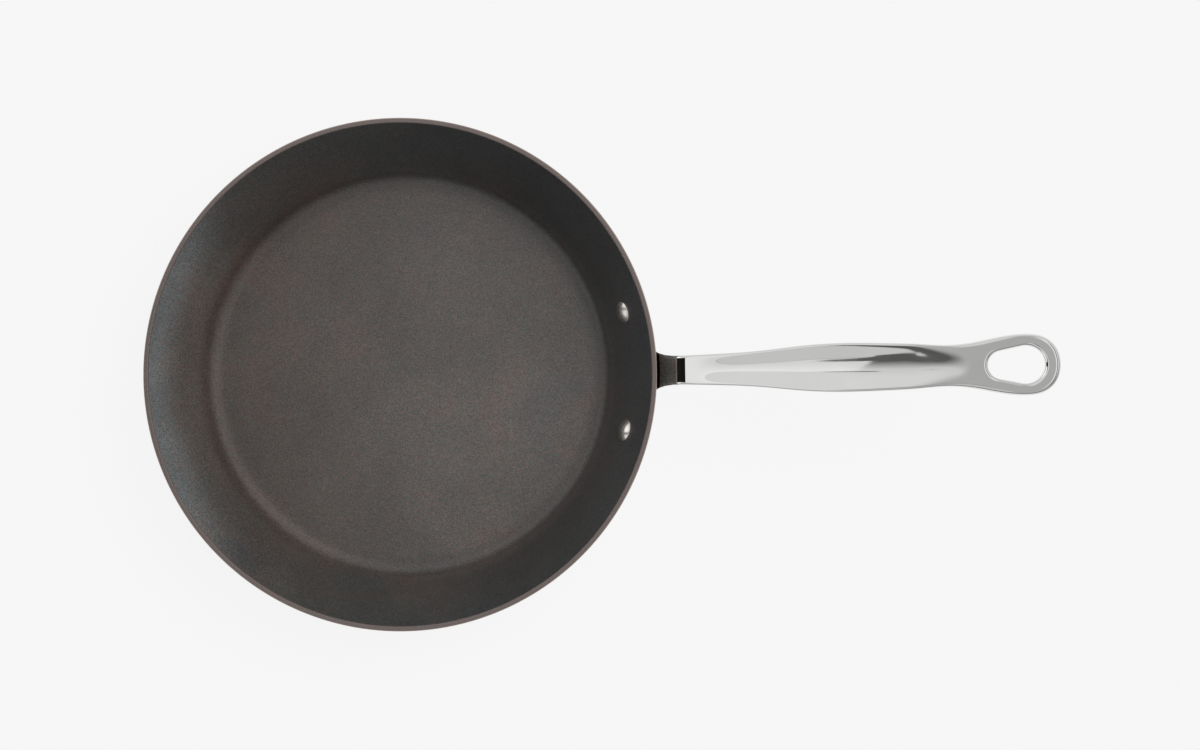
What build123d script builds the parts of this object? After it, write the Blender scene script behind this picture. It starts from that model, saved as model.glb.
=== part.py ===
from build123d import *
import os
from math import asin, cos, degrees, radians, sin, sqrt, tan

# Omelette pan: a flared round pan of one pressed sheet, with a one-piece cast handle.
# The handle's wide flange is held to the pan wall by two rivets.
# Millimetres. Origin at the centre of the underside, +X along the handle, +Z up.

# Pan body
rim_diameter = 260.0  # before its edges are rounded
pan_height = 48.0
sheet_thickness = 2.5
wall_flare_angle = 27.0  # from the vertical
floor_corner_radius = 8.0  # inside
rim_edge_radius = 0.7

# Rivets
rivet_spread = 61.0  # between the two heads, across the handle
rivet_drop = 17.0  # from the rim down to the rivets
rivet_shank_diameter = 6.0
rivet_head_diameter = 12.0
rivet_head_height = 2.4
rivet_head_edge = 0.5  # straight side under the head's dome
rivet_tail_diameter = 10.5
rivet_tail_height = 2.0
rivet_hole_clearance = 0.05  # on the radius
rivet_seat_allowance = 0.6  # extra depth, which the curved seats trim away

# Handle flange, curved to the outside of the wall
flange_thickness = 4.2
flange_height = 18.0
flange_edge_radius = 1.0

# Neck, which climbs from the flange over the level of the rim
neck_width = 15.2
neck_root_margin = 2.4  # of flange over and under the neck's root
neck_gap = 3.0  # from the flange's face out to the foot of the climb
neck_thickness = 8.2
neck_rise_angle = 48.0
bend_rise = 1.6  # the bend's height over the rim
valley_radius = 6.0
bend_radius = 9.0
underside_bend_radius = 9.0

# The neck's sides flare where they meet the flange
root_flare_radius = 7.0
root_flare_angle = 65.0
root_flare_lean = 15.0
root_flare_reach = 3.2  # from the flange's face out to the flare's corner, before it is rounded
root_flare_run = 22.0
root_fillet_radius = 2.5

# Grip and hanging loop, along the handle's own slope
handle_slope = 12.0
grip_length = 187.0  # from the bend to the tip
grip_width = 24.5
waist_width = 20.4
loop_width = 30.0
grip_start_thickness = 9.6
grip_thickness = 10.6
waist_thickness = 7.4
loop_thickness = 6.4
top_edge_radius = 1.8
bottom_edge_radius = 3.2

# Places of the widest grip, the waist and the loop, as shares of the grip length
grip_wide_share = 0.455
grip_taper_share = 0.585
waist_share = 0.710
loop_wide_share = 0.915
loop_shoulder_share = 0.975
belly_start_share = 0.13  # on the underside
grip_taper_width_share = 0.945  # of the grip width
loop_shoulder_width_share = 0.735  # of the loop width

# Scooped channel in the top of the grip
channel_depth = 1.9
channel_side_margin = 3.1  # from the widest grip's side in to the channel's rim
channel_start_share = 0.060
channel_deepest_share = 0.511
channel_end_share = 0.735

# Hanging hole
hole_length = 27.0
hole_inner_end_radius = 6.9
hole_side_margin = 5.9
hole_tip_margin = 7.6
hole_edge_radius = 1.4

# How far cutting tools and hidden ends run past what they meet
cut_overrun = 20.0
same_place = 0.01

rim_radius = rim_diameter / 2
rivet_height = pan_height - rivet_drop
neck_root_top = rivet_height + flange_height / 2 - neck_root_margin
neck_root_low = rivet_height - flange_height / 2 + neck_root_margin
bend_height = pan_height + bend_rise
flare_tan = tan(radians(wall_flare_angle))
flare_cos = cos(radians(wall_flare_angle))
flare_sin = sin(radians(wall_flare_angle))
slope_cos = cos(radians(handle_slope))
slope_sin = sin(radians(handle_slope))
rise_tan = tan(radians(neck_rise_angle))


def wall_radius(height, outside_offset=0.0):
    """Radius of the outer wall's cone, or of a cone parallel to it, at a height."""
    return rim_radius - (pan_height - height) * flare_tan + outside_offset / flare_cos


def near(vertices, x, z):
    """The vertex that lies at one place of an XZ profile."""
    return sorted(vertices, key=lambda v: (v.X - x) ** 2 + (v.Z - z) ** 2)[:1]


def rivet_plane(side):
    """Plane on the inside of the wall at a rivet, its Z axis along the rivet, outwards."""
    radius = wall_radius(rivet_height, -sheet_thickness)
    turn = side * degrees(asin(rivet_spread / 2 / radius))
    straight = Plane(
        origin=(radius, 0, rivet_height), x_dir=(0, 1, 0), z_dir=(flare_cos, 0, -flare_sin)
    )
    return Plane(Rot(0, 0, turn) * straight.location)


def make_pan_blank():
    """The pressed sheet: flat floor, rounded corner and straight flared wall."""
    base_corner = wall_radius(0)
    floor_corner = wall_radius(sheet_thickness, -sheet_thickness)
    rim_inside = wall_radius(pan_height, -sheet_thickness)
    section = make_face(
        Polyline(
            (0, 0, 0),
            (base_corner, 0, 0),
            (rim_radius, 0, pan_height),
            (rim_inside, 0, pan_height),
            (floor_corner, 0, sheet_thickness),
            (0, 0, sheet_thickness),
            close=True,
        )
    )
    section = fillet(near(section.vertices(), floor_corner, sheet_thickness), floor_corner_radius)
    section = fillet(
        near(section.vertices(), base_corner, 0), floor_corner_radius + sheet_thickness
    )
    section = fillet(near(section.vertices(), rim_radius, pan_height), rim_edge_radius)
    section = fillet(near(section.vertices(), rim_inside, pan_height), rim_edge_radius)
    return revolve(section, Axis.Z)


def wall_envelope(offset):
    """Everything inside a cone that lies outside the wall by the offset."""
    low = wall_radius(-cut_overrun, offset)
    high = wall_radius(pan_height + cut_overrun, offset)
    section = make_face(
        Polyline(
            (0, 0, -cut_overrun),
            (low, 0, -cut_overrun),
            (high, 0, pan_height + cut_overrun),
            (0, 0, pan_height + cut_overrun),
            close=True,
        )
    )
    return revolve(section, Axis.Z)


def rivet_holes():
    """The two drilled holes, through the wall and the flange."""
    radius = rivet_shank_diameter / 2 + rivet_hole_clearance
    return [rivet_plane(side) * Cylinder(radius, 2 * cut_overrun) for side in (1, -1)]


def off_cone(point, offset):
    """How far a point lies from the cone that is outside the wall by the offset."""
    return abs(Vector(point.X, point.Y).length - wall_radius(point.Z, offset))


def edges_on_cone(shape, offset):
    """The shape's edges whose middles lie on that cone."""
    return [edge for edge in shape.edges() if off_cone(edge @ 0.5, offset) < same_place]


def make_flange():
    """Curved plate on the outside of the wall, with a round ear at each rivet."""
    outline = Plane.YZ * (Pos(0, rivet_height) * SlotCenterToCenter(rivet_spread, flange_height))
    plate = extrude(outline, rim_diameter) & wall_envelope(flange_thickness)
    plate = fillet(edges_on_cone(plate, flange_thickness), flange_edge_radius)
    return plate - wall_envelope(0)


def flange_face(height):
    """Distance of the flange's outer face from the axis, at a height."""
    return wall_radius(height, flange_thickness)


def bend_place():
    """Where the neck's climbing top line meets the grip's top line, along X."""
    return flange_face(neck_root_top) + neck_gap + (bend_height - neck_root_top) / rise_tan


def along_grip(share, depth=0.0):
    """Place in the XZ profile at a share of the grip's length, a depth under its top line."""
    run = share * grip_length
    return (
        bend_place() + run * slope_cos + depth * slope_sin,
        0,
        bend_height + run * slope_sin - depth * slope_cos,
    )


def grip_plane():
    """Plane of the grip's flat top, its X axis along the slope."""
    return Plane(
        origin=(bend_place(), 0, bend_height),
        x_dir=(slope_cos, 0, slope_sin),
        z_dir=(-slope_sin, 0, slope_cos),
    )


def make_side_shape():
    """The handle seen from the side, wider than any of it."""
    start_x = wall_radius(neck_root_low) - cut_overrun
    valley_x = flange_face(neck_root_top) + neck_gap
    # the underside climbs parallel to the top line, and meets the grip's underside at the knee
    under_shift = neck_thickness / sin(radians(neck_rise_angle))
    heel_x = bend_place() + under_shift - (bend_height - neck_root_low) / rise_tan
    grip_low = along_grip(0, grip_start_thickness)
    climb = Axis((heel_x, 0, neck_root_low), (1, 0, rise_tan))
    knee = climb.intersect(Axis(grip_low, (slope_cos, 0, slope_sin)))
    belly_start = along_grip(belly_start_share, grip_start_thickness)
    over_share = 1 + loop_width / grip_length
    slope = (slope_cos, 0, slope_sin)
    belly = Spline(
        belly_start,
        along_grip(grip_wide_share, grip_thickness),
        along_grip(waist_share, waist_thickness),
        along_grip(loop_wide_share, loop_thickness),
        along_grip(over_share, loop_thickness),
        tangents=[slope, slope],
    )
    rest = Polyline(
        along_grip(over_share, loop_thickness),
        along_grip(over_share),
        (bend_place(), 0, bend_height),
        (valley_x, 0, neck_root_top),
        (start_x, 0, neck_root_top),
        (start_x, 0, neck_root_low),
        (heel_x, 0, neck_root_low),
        knee,
        belly_start,
    )
    face = make_face([*rest.edges(), *belly.edges()])
    face = fillet(near(face.vertices(), bend_place(), bend_height), bend_radius)
    face = fillet(near(face.vertices(), valley_x, neck_root_top), valley_radius)
    face = fillet(near(face.vertices(), heel_x, neck_root_low), valley_radius + neck_thickness)
    face = fillet(near(face.vertices(), knee.X, knee.Z), underside_bend_radius)
    return extrude(Pos(0, rivet_spread, 0) * face, 2 * rivet_spread, dir=(0, -1, 0))


def make_grip_plan():
    """The grip and loop seen along their top's normal, from the bend to the rounded tip."""
    back = -bend_radius
    places = [
        (0, neck_width / 2),
        (grip_wide_share, grip_width / 2),
        (grip_taper_share, grip_taper_width_share * grip_width / 2),
        (waist_share, waist_width / 2),
        (loop_wide_share, loop_width / 2),
        (loop_shoulder_share, loop_shoulder_width_share * loop_width / 2),
        (1, 0),
    ]
    edge = Spline(
        *[(share * grip_length, y) for share, y in places], tangents=[(1, 0), (0, -1)]
    )
    neck_side = Line((back, neck_width / 2), (0, neck_width / 2))
    other_edge = mirror(edge, about=Plane.XZ)
    other_side = mirror(neck_side, about=Plane.XZ)
    back_line = Line((back, neck_width / 2), (back, -neck_width / 2))
    outline = [edge, neck_side, other_edge, other_side, back_line]
    face = make_face([part for line in outline for part in line.edges()])
    return extrude(grip_plane() * face, grip_width, both=True)


def make_neck_plan():
    """The neck seen from above, flaring into the flange."""
    corner_x = flange_face(neck_root_top) + root_flare_reach
    side_y = neck_width / 2
    spread_x = corner_x - root_flare_run * cos(radians(root_flare_angle))
    spread_y = side_y + root_flare_run * sin(radians(root_flare_angle))
    back_x = corner_x - cut_overrun
    half = [
        (bend_place(), side_y),
        (corner_x, side_y),
        (spread_x, spread_y),
        (back_x, spread_y),
    ]
    other = [(x, -y) for x, y in reversed(half)]
    face = Pos(0, 0, neck_root_top) * make_face(Polyline(*half, *other, close=True))
    corners = [v for v in face.vertices() if abs(v.X - corner_x) < same_place]
    face = fillet(corners, root_flare_radius)
    lean = radians(root_flare_lean)
    return extrude(face, flange_height + cut_overrun, dir=(sin(lean), 0, cos(lean)), both=True)


def make_channel_cutter():
    """Blade for the scoop: a round section swept along two arcs that meet at its deepest place."""
    deepest = channel_deepest_share * grip_length
    start_run = deepest - channel_start_share * grip_length
    end_run = channel_end_share * grip_length - deepest
    half_width = grip_width / 2 - channel_side_margin
    section_radius = (half_width**2 + channel_depth**2) / (2 * channel_depth)
    centre_height = section_radius - channel_depth
    low_point = (deepest, 0, centre_height)
    section = Plane(origin=low_point, z_dir=(1, 0, 0)) * Circle(section_radius)
    blades = []
    for way, run in ((-1, start_run), (1, end_run)):
        arc_radius = run**2 / (2 * channel_depth)
        reach = run + cut_overrun
        rise = arc_radius - sqrt(arc_radius**2 - reach**2)
        end = (deepest + way * reach, 0, centre_height + rise)
        spine = TangentArc(low_point, end, tangent=(way, 0, 0))
        blades.append(sweep(section, path=spine))
    return grip_plane() * (blades[0] + blades[1])


def make_hole_cutter():
    """Egg-shaped hanging hole through the loop, its wide end at the tip."""
    wide = loop_width / 2 - hole_side_margin
    wide_place = grip_length - hole_tip_margin - wide
    small_place = grip_length - hole_tip_margin - hole_length + hole_inner_end_radius
    ends = Pos(wide_place, 0) * Circle(wide) + Pos(small_place, 0) * Circle(hole_inner_end_radius)
    outline = make_hull(ends.edges())
    return extrude(grip_plane() * outline, cut_overrun, both=True)


def edges_at(shape, marks):
    """The shape's edges whose middles lie on the marks."""
    return [
        edge
        for edge in shape.edges()
        if min((edge @ 0.5 - mark).length for mark in marks) < same_place
    ]


def root_edge(shape):
    """The edge where the neck's upper side meets the flange; the whole root follows from it."""
    top_centre = Vector(flange_face(neck_root_top), 0, neck_root_top)
    return min(
        edges_on_cone(shape, flange_thickness), key=lambda edge: (edge @ 0.5 - top_centre).length
    )


def make_handle_blank():
    """The whole casting before its rivet holes are drilled."""
    body = make_side_shape() & (make_grip_plan() + make_neck_plan())
    lengthways = body.edges().sort_by(SortBy.LENGTH)
    lower_marks = [edge @ 0.5 for edge in lengthways[-4:-2]]
    body = fillet(lengthways[-2:], top_edge_radius)
    body = fillet(edges_at(body, lower_marks), bottom_edge_radius)
    body = body - make_channel_cutter()
    before = body.edges()
    body = body - make_hole_cutter()
    through = Axis(grip_plane().origin, grip_plane().z_dir)
    rims = (body.edges() - before).filter_by(through, reverse=True)
    body = fillet(rims, hole_edge_radius)
    joined = body + make_flange() - wall_envelope(0)
    return fillet(root_edge(joined), root_fillet_radius)


def drill(blank):
    """The blank with the rivet holes cut through it."""
    for hole in rivet_holes():
        blank = blank - hole
    return blank


def make_dome(diameter, height):
    """A rivet's dome, rising along +Z from a straight edge that has spare depth for its seat."""
    half = diameter / 2
    cap = height - rivet_head_edge
    dome_radius = (half**2 + cap**2) / (2 * cap)
    arc = RadiusArc((half, rivet_head_edge), (0, height), -dome_radius)
    rest = Polyline(
        (0, height),
        (0, -rivet_seat_allowance),
        (half, -rivet_seat_allowance),
        (half, rivet_head_edge),
    )
    profile = make_face([*arc.edges(), *rest.edges()])
    return revolve(Plane.XZ * profile, Axis.Z)


def make_rivet(side):
    """Domed head inside the pan, shank through wall and flange, formed tail outside."""
    held = sheet_thickness + flange_thickness
    shank = Pos(0, 0, held / 2) * Cylinder(
        rivet_shank_diameter / 2, held + 2 * rivet_seat_allowance
    )
    head = Rot(180, 0, 0) * make_dome(rivet_head_diameter, rivet_head_height)
    tail = Pos(0, 0, held) * make_dome(rivet_tail_diameter, rivet_tail_height)
    plane = rivet_plane(side)
    seated_head = (plane * head) & wall_envelope(-sheet_thickness)
    seated_tail = (plane * tail) - wall_envelope(flange_thickness)
    return seated_head + plane * shank + seated_tail


pieces = {
    "pan_body": drill(make_pan_blank()),
    "handle": drill(make_handle_blank()),
    "rivet_left": make_rivet(1),
    "rivet_right": make_rivet(-1),
}

os.makedirs("parts", exist_ok=True)
for name, piece in pieces.items():
    export_step(piece, f"parts/{name}.step")
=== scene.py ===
"""Omelette pan: a pressed, seasoned steel pan with a polished cast handle and two rivets."""

import math

import bmesh
import bpy
import numpy as np
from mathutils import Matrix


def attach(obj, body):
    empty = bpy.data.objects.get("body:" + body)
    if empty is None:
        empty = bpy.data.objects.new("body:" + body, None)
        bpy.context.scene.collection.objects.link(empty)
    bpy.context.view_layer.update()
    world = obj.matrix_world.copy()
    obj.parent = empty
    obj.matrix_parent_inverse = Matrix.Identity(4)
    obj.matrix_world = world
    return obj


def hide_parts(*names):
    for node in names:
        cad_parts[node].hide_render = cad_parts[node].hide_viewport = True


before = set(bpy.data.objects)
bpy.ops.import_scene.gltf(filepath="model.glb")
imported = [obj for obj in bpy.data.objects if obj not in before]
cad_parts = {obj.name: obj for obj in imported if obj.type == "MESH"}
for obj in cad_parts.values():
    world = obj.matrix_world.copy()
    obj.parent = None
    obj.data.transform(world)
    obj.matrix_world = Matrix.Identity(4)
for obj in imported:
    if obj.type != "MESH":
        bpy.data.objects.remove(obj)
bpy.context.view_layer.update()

bl_info = {
    "name": "Omelette pan",
    "version": (1, 0, 0),
    "blender": (4, 5, 0),
    "location": "3D View > Sidebar > Omelette pan",
    "description": "Makes a seasoned steel omelette pan with a polished handle, and its studio",
    "category": "Object",
}

ROOT_BODY = "root"
MERGE_DISTANCE = 0.00001
ROW_SPACING = 0.0016
RIVET_STEPS = 64
SHARP_ANGLE = math.radians(50)
SENSOR_WIDTH = 36.0
FOCAL_LENGTH = 55.44
CAMERA_PLACE = (0.1014, -0.0018)
CAMERA_TURN = math.radians(-0.91)


# Sizes and colours that a user would change

def length_setting(name, description, default, low, high):
    """A length in metres."""
    return bpy.props.FloatProperty(
        name=name, description=description, default=default, min=low, max=high,
        subtype="DISTANCE", unit="LENGTH",
    )


def angle_setting(name, description, default, low, high):
    """An angle, given here in degrees."""
    return bpy.props.FloatProperty(
        name=name, description=description, default=math.radians(default),
        min=math.radians(low), max=math.radians(high), subtype="ANGLE", unit="ROTATION",
    )


def colour_setting(name, description, default):
    return bpy.props.FloatVectorProperty(
        name=name, description=description, default=default, min=0, max=1, size=3,
        subtype="COLOR",
    )


class PanSizes(bpy.types.PropertyGroup):
    rim_diameter: length_setting(
        "Rim Diameter", "Outside of the rim, before its edges are rounded", 0.2616, 0.12, 0.45)
    height: length_setting("Height", "From the underside to the rim", 0.048, 0.02, 0.12)
    sheet_thickness: length_setting(
        "Sheet Thickness", "Thickness of the pressed steel", 0.0025, 0.001, 0.005)
    wall_flare: angle_setting("Wall Flare", "Lean of the wall from the vertical", 27.6, 5, 45)
    corner_radius: length_setting(
        "Corner Radius", "Inside radius where the floor turns up into the wall", 0.008, 0.002, 0.02)
    edge_radius: length_setting(
        "Edge Radius", "Rounding of the rim's two edges", 0.0007, 0.0001, 0.001)
    turns: bpy.props.IntProperty(
        name="Steps Round", description="Steps round the pan", default=192, min=32, max=256,
    )


class RivetSizes(bpy.types.PropertyGroup):
    spread: length_setting("Spread", "Between the two heads, across the handle", 0.061, 0.03, 0.09)
    drop: length_setting("Drop", "From the rim down to the rivets", 0.0197, 0.01, 0.03)
    head_diameter: length_setting(
        "Head Diameter", "Across the domed head inside the pan", 0.012, 0.006, 0.016)
    head_height: length_setting(
        "Head Height", "How far the head stands off the wall", 0.0024, 0.001, 0.004)
    tail_diameter: length_setting(
        "Tail Diameter", "Across the formed tail on the flange", 0.0105, 0.006, 0.014)
    tail_height: length_setting(
        "Tail Height", "How far the tail stands off the flange", 0.002, 0.001, 0.004)
    shank_diameter: length_setting(
        "Shank Diameter", "Across the shank through wall and flange", 0.006, 0.003, 0.008)
    flange_thickness: length_setting(
        "Flange Thickness", "Thickness of the flange that the rivets hold", 0.0042, 0.002, 0.008)


class HandleSizes(bpy.types.PropertyGroup):
    length: length_setting("Length", "Grip and loop, from the bend to the tip", 0.1871, 0.12, 0.26)
    slope: angle_setting("Slope", "Rise of the grip from the level", 12, 0, 30)
    neck_rise: angle_setting("Neck Rise", "Climb of the neck from the level", 48, 25, 70)
    neck_width: length_setting("Neck Width", "Across the neck", 0.0151, 0.008, 0.024)
    neck_thickness: length_setting(
        "Neck Thickness", "Through the climbing neck", 0.0082, 0.005, 0.012)
    grip_width: length_setting(
        "Grip Width", "Across the widest place of the grip", 0.0245, 0.016, 0.034)
    waist_width: length_setting(
        "Waist Width", "Across the waist between grip and loop", 0.0205, 0.012, 0.03)
    loop_width: length_setting("Loop Width", "Across the hanging loop", 0.0301, 0.02, 0.04)
    scoop_depth: length_setting(
        "Scoop Depth", "Depth of the thumb scoop along the grip", 0.0017, 0, 0.003)
    scoop_end: length_setting(
        "Scoop End", "From the bend to the end of the scoop", 0.1445, 0.12, 0.1448)
    valley_radius: length_setting(
        "Valley Radius", "Curve of the neck's top at the flange", 0.0083, 0.003, 0.012)
    bend_radius: length_setting(
        "Bend Radius", "Curve of the top from the neck into the grip", 0.009, 0.004, 0.02)
    root_flare: length_setting(
        "Root Flare", "Curve of the neck's sides into the flange", 0.0060, 0.002, 0.009)


class PanColours(bpy.types.PropertyGroup):
    seasoning: colour_setting(
        "Seasoning", "Dark brown of the seasoned steel", (0.074, 0.065, 0.060))
    worn_rim: colour_setting("Worn Rim", "Browned bare steel along the rim", (0.19, 0.155, 0.145))
    bare_edge: colour_setting("Bare Edge", "Rubbed outer edge of the rim", (0.52, 0.42, 0.36))
    handle_steel: colour_setting(
        "Handle Steel", "Polished stainless steel of the handle", (0.80, 0.80, 0.79))
    rivet_steel: colour_setting("Rivet Steel", "Stainless steel of the rivets", (0.84, 0.79, 0.74))


class StudioLook(bpy.types.PropertyGroup):
    backdrop: colour_setting("Backdrop", "Pale floor and background", (0.93, 0.93, 0.93))
    ambient: bpy.props.FloatProperty(
        name="Ambient", description="Even light from all round", default=0.30, min=0, max=2,
    )
    key_strength: bpy.props.FloatProperty(
        name="Key Strength", description="Broad lamp from the right", default=2.45, min=0, max=10,
    )
    sheen: bpy.props.FloatProperty(
        name="Sheen", description="Strong light at the right, which satin surfaces spread",
        default=0.5, min=0, max=20,
    )
    ceiling_height: length_setting("Ceiling Height", "Of the softbox over the floor", 0.87, 0.4, 3)
    camera_height: length_setting("Camera Height", "Of the camera over the floor", 0.985, 0.3, 3)


# Small helpers for node trees

def add_node(tree, kind, **settings):
    node = tree.nodes.new(kind)
    for name, value in settings.items():
        setattr(node, name, value)
    return node


def feed(tree, source, socket):
    """Puts a number, colour or another node's output into an input."""
    if isinstance(source, bpy.types.NodeSocket):
        tree.links.new(source, socket)
    else:
        socket.default_value = source


def made(tree, kind, inputs, **settings):
    """The outputs of a new node, with its inputs fed by name or place."""
    node = add_node(tree, kind, **settings)
    for name, source in inputs.items():
        feed(tree, source, node.inputs[name])
    return node.outputs


def maths(tree, operation, *inputs, clamp=False):
    numbers = dict(enumerate(inputs))
    return made(tree, "ShaderNodeMath", numbers, operation=operation, use_clamp=clamp)[0]


def plus(tree, one, other):
    return maths(tree, "ADD", one, other)


def minus(tree, one, other):
    return maths(tree, "SUBTRACT", one, other)


def times(tree, product, *factors):
    for factor in factors:
        product = maths(tree, "MULTIPLY", product, factor)
    return product


def over(tree, one, other):
    return maths(tree, "DIVIDE", one, other)


def without_sign(tree, value):
    return maths(tree, "ABSOLUTE", value)


def split(tree, vector):
    """The X, Y and Z of a vector."""
    outputs = made(tree, "ShaderNodeSeparateXYZ", {0: vector})
    return outputs["X"], outputs["Y"], outputs["Z"]


def from_axis(tree, x, y):
    """Distance from the Z axis."""
    squares = plus(tree, maths(tree, "POWER", x, 2.0), maths(tree, "POWER", y, 2.0))
    return maths(tree, "SQRT", squares)


def joined(tree, x, y, z):
    return made(tree, "ShaderNodeCombineXYZ", {0: x, 1: y, 2: z})[0]


def mapped(tree, kind, *numbers):
    """A value taken from one range to another, level beyond both ends."""
    inputs = dict(enumerate(numbers))
    return made(tree, "ShaderNodeMapRange", inputs, interpolation_type=kind, clamp=True)[0]


def ramp_between(tree, value, low, high, to_low=0.0, to_high=1.0):
    """A smooth step from to_low to to_high as the value goes from low to high."""
    return mapped(tree, "SMOOTHSTEP", value, low, high, to_low, to_high)


def falling(tree, value, low, high):
    """A smooth step from one to zero as the value goes from low to high."""
    return ramp_between(tree, value, low, high, 1.0, 0.0)


def window(tree, value, low, high, soft):
    """One between two values, and zero beyond them."""
    return times(tree, ramp_between(tree, value, low - soft, low + soft),
                 falling(tree, value, high - soft, high + soft))


def slope_between(tree, value, low, high, to_low, to_high):
    """A straight slope from to_low to to_high, level beyond both ends."""
    return mapped(tree, "LINEAR", value, low, high, to_low, to_high)


def mixed(tree, ending, share, first, second, **settings):
    """A mix node's result, for the numbers or colours that the sockets' ending names."""
    node = add_node(tree, "ShaderNodeMix", **settings)
    sockets = {socket.identifier: socket for socket in node.inputs}
    for name, source in (("Factor_Float", share), ("A_" + ending, first), ("B_" + ending, second)):
        feed(tree, source, sockets[name])
    return next(s for s in node.outputs if s.identifier == "Result_" + ending)


def chosen(tree, share, first, second):
    """The first number where the share is zero, the second where it is one."""
    return mixed(tree, "Float", share, first, second, data_type="FLOAT")


def blended(tree, share, first, second, kind="MIX"):
    """One colour laid over another."""
    return mixed(tree, "Color", share, first, second, data_type="RGBA", blend_type=kind)


def tinted(tree, share, colour, tint):
    """A colour multiplied by a tint, as far as the share says."""
    return blended(tree, share, colour, rgba(tint), "MULTIPLY")


def scaled(tree, colour, factor):
    """A colour made lighter or darker."""
    inputs = {0: colour, "Scale": factor}
    return made(tree, "ShaderNodeVectorMath", inputs, operation="SCALE")[0]


def noise(tree, place, scale, detail=2.0, roughness=0.5):
    inputs = {"Vector": place, "Scale": scale, "Detail": detail, "Roughness": roughness}
    return made(tree, "ShaderNodeTexNoise", inputs)["Fac"]


def rgba(colour):
    return (*colour, 1.0)


# Shared surface effects

def open_group(name, kind, inputs, outputs):
    """A group with inputs (socket kind, name, default) and outputs (socket kind, name)."""
    tree = bpy.data.node_groups.new(name, kind)
    for socket_kind, label, default in inputs:
        socket = tree.interface.new_socket(
            label, in_out="INPUT", socket_type="NodeSocket" + socket_kind)
        if default is not None:
            socket.default_value = default
    for socket_kind, label in outputs:
        tree.interface.new_socket(
            label, in_out="OUTPUT", socket_type="NodeSocket" + socket_kind)
    return tree, add_node(tree, "NodeGroupInput"), add_node(tree, "NodeGroupOutput")


def make_grain_group():
    """Fine grain: a noise about a half, spread out by the contrast."""
    tree, start, end = open_group(
        "Fine Grain", "ShaderNodeTree",
        [("Vector", "Place", None), ("Float", "Scale", 1200.0), ("Float", "Contrast", 1.0)],
        [("Float", "Grain")],
    )
    fine = noise(tree, start.outputs["Place"], start.outputs["Scale"], 3.0, 0.6)
    spread = times(tree, minus(tree, fine, 0.5), start.outputs["Contrast"])
    tree.links.new(maths(tree, "ADD", spread, 0.5, clamp=True), end.inputs["Grain"])
    return tree


def make_polish_group():
    """Polishing marks: long fine streaks along X, and soft smudges."""
    tree, start, end = open_group(
        "Polishing Marks", "ShaderNodeTree",
        [("Vector", "Place", None), ("Float", "Fineness", 900.0),
         ("Float", "Smudge Scale", 40.0)],
        [("Float", "Streaks"), ("Float", "Smudges")],
    )
    given = start.outputs
    stretch = {"Vector": given["Place"], "Scale": (0.03, 1.0, 1.0)}
    stretched = made(tree, "ShaderNodeMapping", stretch)["Vector"]
    streaks = noise(tree, stretched, given["Fineness"])
    smudges = noise(tree, given["Place"], given["Smudge Scale"], 3.0)
    tree.links.new(streaks, end.inputs["Streaks"])
    tree.links.new(smudges, end.inputs["Smudges"])
    return tree


def shared_group(tree, name, maker, inputs):
    """The outputs of a node for a shared group, which is made at its first use."""
    group = bpy.data.node_groups.get(name) or maker()
    kind = "GeometryNodeGroup" if group.type == "GEOMETRY" else "ShaderNodeGroup"
    return made(tree, kind, inputs, node_tree=group)


def grain_of(tree, place, scale, contrast):
    inputs = {"Place": place, "Scale": scale, "Contrast": contrast}
    return shared_group(tree, "Fine Grain", make_grain_group, inputs)["Grain"]


def polish_of(tree, place, fineness, smudge_scale):
    inputs = {"Place": place, "Fineness": fineness, "Smudge Scale": smudge_scale}
    marks = shared_group(tree, "Polishing Marks", make_polish_group, inputs)
    return marks["Streaks"], marks["Smudges"]


def open_material(name):
    """A new material with its Principled shader, and the piece's own coordinates."""
    material = bpy.data.materials.new(name)
    material.use_nodes = True
    tree = material.node_tree
    shader = tree.nodes["Principled BSDF"]
    place = made(tree, "ShaderNodeTexCoord", {})["Object"]
    return material, tree, shader, place


def bump_from(tree, shader, height, depth):
    bump = made(tree, "ShaderNodeBump", {"Strength": 1.0, "Distance": depth, "Height": height})
    tree.links.new(bump["Normal"], shader.inputs["Normal"])


# Materials

# Noise scales, per metre
CLOUD_SCALE = 14.0
BLUISH_SCALE = 19.0
BAKED_SCALE = 22.0
REDDISH_SCALE = 30.0
RAGGED_SCALE = 220.0
COARSE_GRAIN_SCALE = 620.0
SPECK_SCALE = 900.0
FINE_GRAIN_SCALE = 1500.0
STREAK_SCALE = 1500.0
SMUDGE_SCALE = 45.0
RIVET_STREAK_SCALE = 1200.0
RIVET_SMUDGE_SCALE = 300.0

# Heights on the pan at which an effect starts or ends, from and to, in metres
BAKED_START = (0.003, 0.014)
BAKED_END = (0.020, 0.044)
CORNER_END = (0.004, 0.010)
WALL_START = (0.006, 0.016)
FAR_END_START = (0.022, 0.044)
BEHIND_NECK_START = (0.030, 0.036)
PAINTED_SHADE_START = (0.034, 0.036)

# Distances over which an effect starts or ends, from and to, in metres
BROWNER_X = (-0.08, 0.02)
FAR_END_X = (-0.112, -0.080)
ENDS_REACH = (0.075, 0.115)
CORNER_RADIUS = (0.095, 0.101)
BEHIND_NECK_X = (0.0, 0.01)
BEHIND_NECK_REACH = (0.010, 0.020)
PAINTED_SHADE_REACH = (0.010, 0.014)
RIVET_TAIL_X = (0.118, 0.120)

# Light written into the seasoning: from and to in metres, and the factor at each
FLOOR_LIGHT_X = (-0.09, 0.03, 0.76, 1.17)
FLOOR_LIGHT_LEFT = (0.0, 0.09, 1.0, 0.84)
FLOOR_LIGHT_RIGHT = (-0.09, -0.01, 0.92, 1.0)
WALL_LIGHT_X = (-0.05, 0.09, 1.0, 0.66)

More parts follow.
